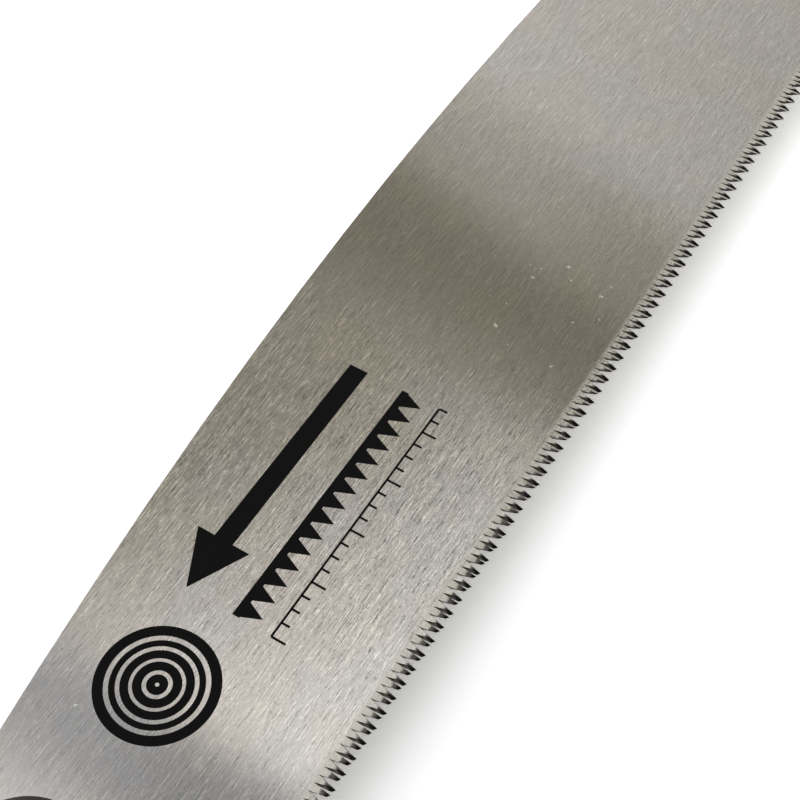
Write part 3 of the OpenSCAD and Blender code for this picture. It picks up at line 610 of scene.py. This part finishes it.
def studio_sky():
    """Light that the blade mirrors, by angles in degrees from straight up."""
    world = bpy.data.worlds.new("studio_sky")
    bpy.context.scene.world = world
    world.use_nodes = True
    tree = world.node_tree
    tree.nodes.clear()
    axes = add(tree, "SeparateXYZ", {0: add(tree, "TexCoord").outputs["Generated"]}).outputs
    to_degrees = 180 / math.pi
    toward_toe = times(tree, maths(tree, "ARCTAN2", axes["X"], axes["Z"]), to_degrees)
    toward_back = times(tree, maths(tree, "ARCTAN2", axes["Y"], axes["Z"]), to_degrees)
    lean = add(tree, "Clamp", {"Value": toward_back, "Min": 10.0, "Max": 30.0}).outputs[0]

    def slanted(share):
        """Angle towards the toe, turned by a share of the lean towards the back."""
        return scaled(tree, lean, by=share, plus=toward_toe)

    # Main panel, which fades towards the toe and the back, with a ridge near its end
    main_panel = ramp(tree, slanted(share=1.25), start=36.0, end=58.3, low=1.2, high=0.36, kind="LINEAR")
    main_panel = times(tree, main_panel, ramp(tree, toward_toe, start=17.0, end=21.0, low=1.1, high=1.0))
    ridge = ramp(tree, toward_toe, start=28.0, end=31.5, high=0.05)
    ridge = times(tree, ridge, ramp(tree, lean, start=15.0, end=19.0))
    main_panel = maths(tree, "ADD", main_panel, ridge)
    # Darker stripe across it, overhead
    past_stripe = ramp(tree, toward_toe, start=15.2, end=16.4)
    before_stripe = ramp(tree, toward_toe, start=12.5, end=8.5)
    beside_stripe = maths(tree, "MAXIMUM", past_stripe, before_stripe)
    stripe_level = ramp(tree, toward_back, start=18.0, end=25.0, low=0.25, high=0.68, kind="LINEAR")
    striped = scaled(tree, maths(tree, "SUBTRACT", 1.0, stripe_level), by=beside_stripe, plus=stripe_level)
    panel_end = ramp(tree, slanted(share=-0.13), start=30.05, end=31.45, low=1.0, high=0.0)
    main_panel = times(tree, main_panel, striped, panel_end)
    # Gap beside it, then the far panel in two steps
    gap = ramp(tree, toward_toe, start=33.4, end=36.4, low=0.36, high=0.245)
    gap = times(tree, gap, ramp(tree, lean, start=15.0, end=21.0, low=0.93, high=1.07))
    first_level = ramp(tree, toward_back, start=16.0, end=21.5, low=0.15, high=0.285)
    first_step = times(tree, ramp(tree, slanted(share=-0.2), start=33.9, end=35.4), first_level)
    second_front = ramp(tree, toward_back, start=18.0, end=20.5, low=0.29, high=0.2)
    second_back = ramp(tree, toward_back, start=22.0, end=27.0, high=0.1)
    second_level = maths(tree, "ADD", second_front, second_back)
    second_step = times(tree, ramp(tree, slanted(share=-0.17), start=38.2, end=40.1), second_level)
    far_panel = maths(tree, "ADD", maths(tree, "ADD", gap, first_step), second_step)
    far_panel = times(tree, far_panel, ramp(tree, toward_toe, start=43.5, end=47.5, low=1.0, high=0.92))
    far_panel = maths(tree, "ADD", far_panel, ramp(tree, toward_toe, start=50.0, end=75.0, high=0.4))
    light = maths(tree, "MAXIMUM", main_panel, far_panel)
    # Weaker from in front of the teeth and from over the handle
    light = times(tree, light, ramp(tree, toward_back, start=10.0, end=-30.0, low=1.0, high=0.55))
    light = times(tree, light, ramp(tree, toward_toe, start=6.0, end=-14.0, low=1.0, high=0.7))
    # The light from behind is a lamp that the table feels and the steel doesn't mirror
    unmirrored = maths(tree, "SUBTRACT", 1.0, add(tree, "LightPath").outputs["Is Glossy Ray"])
    lamp = times(tree, ramp(tree, toward_back, start=32.0, end=55.0, high=0.68), unmirrored)
    light = times(tree, light, maths(tree, "ADD", lamp, 1.0))
    # What is dim is warm, and the stripe is cool
    warmth = ramp(tree, light, start=0.26, end=0.75, low=1.0, high=0.0)
    hue = mixed(tree, beside_stripe, STRIPE_TINT, mixed(tree, warmth, PANEL_TINT, GAP_TINT))
    sky = add(tree, "Background", {"Color": hue, "Strength": light})
    add(tree, "OutputWorld", {"Surface": sky.outputs[0]})


def white_table():
    """Matt white table that reads as paper white where it is seen directly or in a first reflection."""
    mesh = bpy.data.meshes.new("table")
    shape = bmesh.new()
    bmesh.ops.create_grid(shape, x_segments=1, y_segments=1, size=TABLE_HALF)
    shape.to_mesh(mesh)
    shape.free()
    table = bpy.data.objects.new("table", mesh)
    bpy.context.scene.collection.objects.link(table)
    material = bpy.data.materials.new("table_white")
    material.use_nodes = True
    tree = material.node_tree
    tree.nodes.clear()
    path = add(tree, "LightPath").outputs
    seen = maths(tree, "MAXIMUM", path["Is Camera Ray"], path["Is Glossy Ray"])
    seen = maths(tree, "MAXIMUM", seen, path["Is Transmission Ray"])
    seen = times(tree, seen, maths(tree, "LESS_THAN", path["Ray Depth"], SEEN_DEPTH))
    # The table's white is painted brighter towards the toe, a painted pool of light, as if that side were a
    # little nearer to the light
    axes = add(tree, "SeparateXYZ", {0: add(tree, "TexCoord").outputs["Object"]}).outputs
    level = ramp(tree, axes["X"], start=76 * MM, end=200 * MM, low=1.77, high=2.17, kind="LINEAR")
    white = mixed(tree, seen, TABLE_GREY, shaded(tree, PAPER_TINT, level))
    matt = add(tree, "BsdfDiffuse", {"Color": white})
    add(tree, "OutputMaterial", {"Surface": matt.outputs[0]})
    mesh.materials.append(material)


CAMERA_LENS = 67.5
CAMERA_SENSOR = 36.0
CAMERA_CLIP = 5 * MM
CAMERA_RIGHT = Vector((0.52685, -0.84996, 0.0))
CAMERA_UP = Vector((0.69297, 0.42954, 0.57905))
CAMERA_FROM_PIVOT = Vector((-12.7, -64.06, 187.5)) * MM


def photo_camera():
    """Camera at the photograph's viewing angle."""
    data = bpy.data.cameras.new("photo_camera")
    data.lens = CAMERA_LENS
    data.sensor_width = CAMERA_SENSOR
    data.clip_start = CAMERA_CLIP
    camera = bpy.data.objects.new("photo_camera", data)
    bpy.context.scene.collection.objects.link(camera)
    turn = Matrix((CAMERA_RIGHT, CAMERA_UP, CAMERA_RIGHT.cross(CAMERA_UP))).transposed().to_4x4()
    camera.matrix_world = Matrix.Translation(pivot + CAMERA_FROM_PIVOT) @ turn
    bpy.context.scene.camera = camera


studio_sky()
white_table()
photo_camera()
bpy.context.scene.view_settings.view_transform = "Standard"
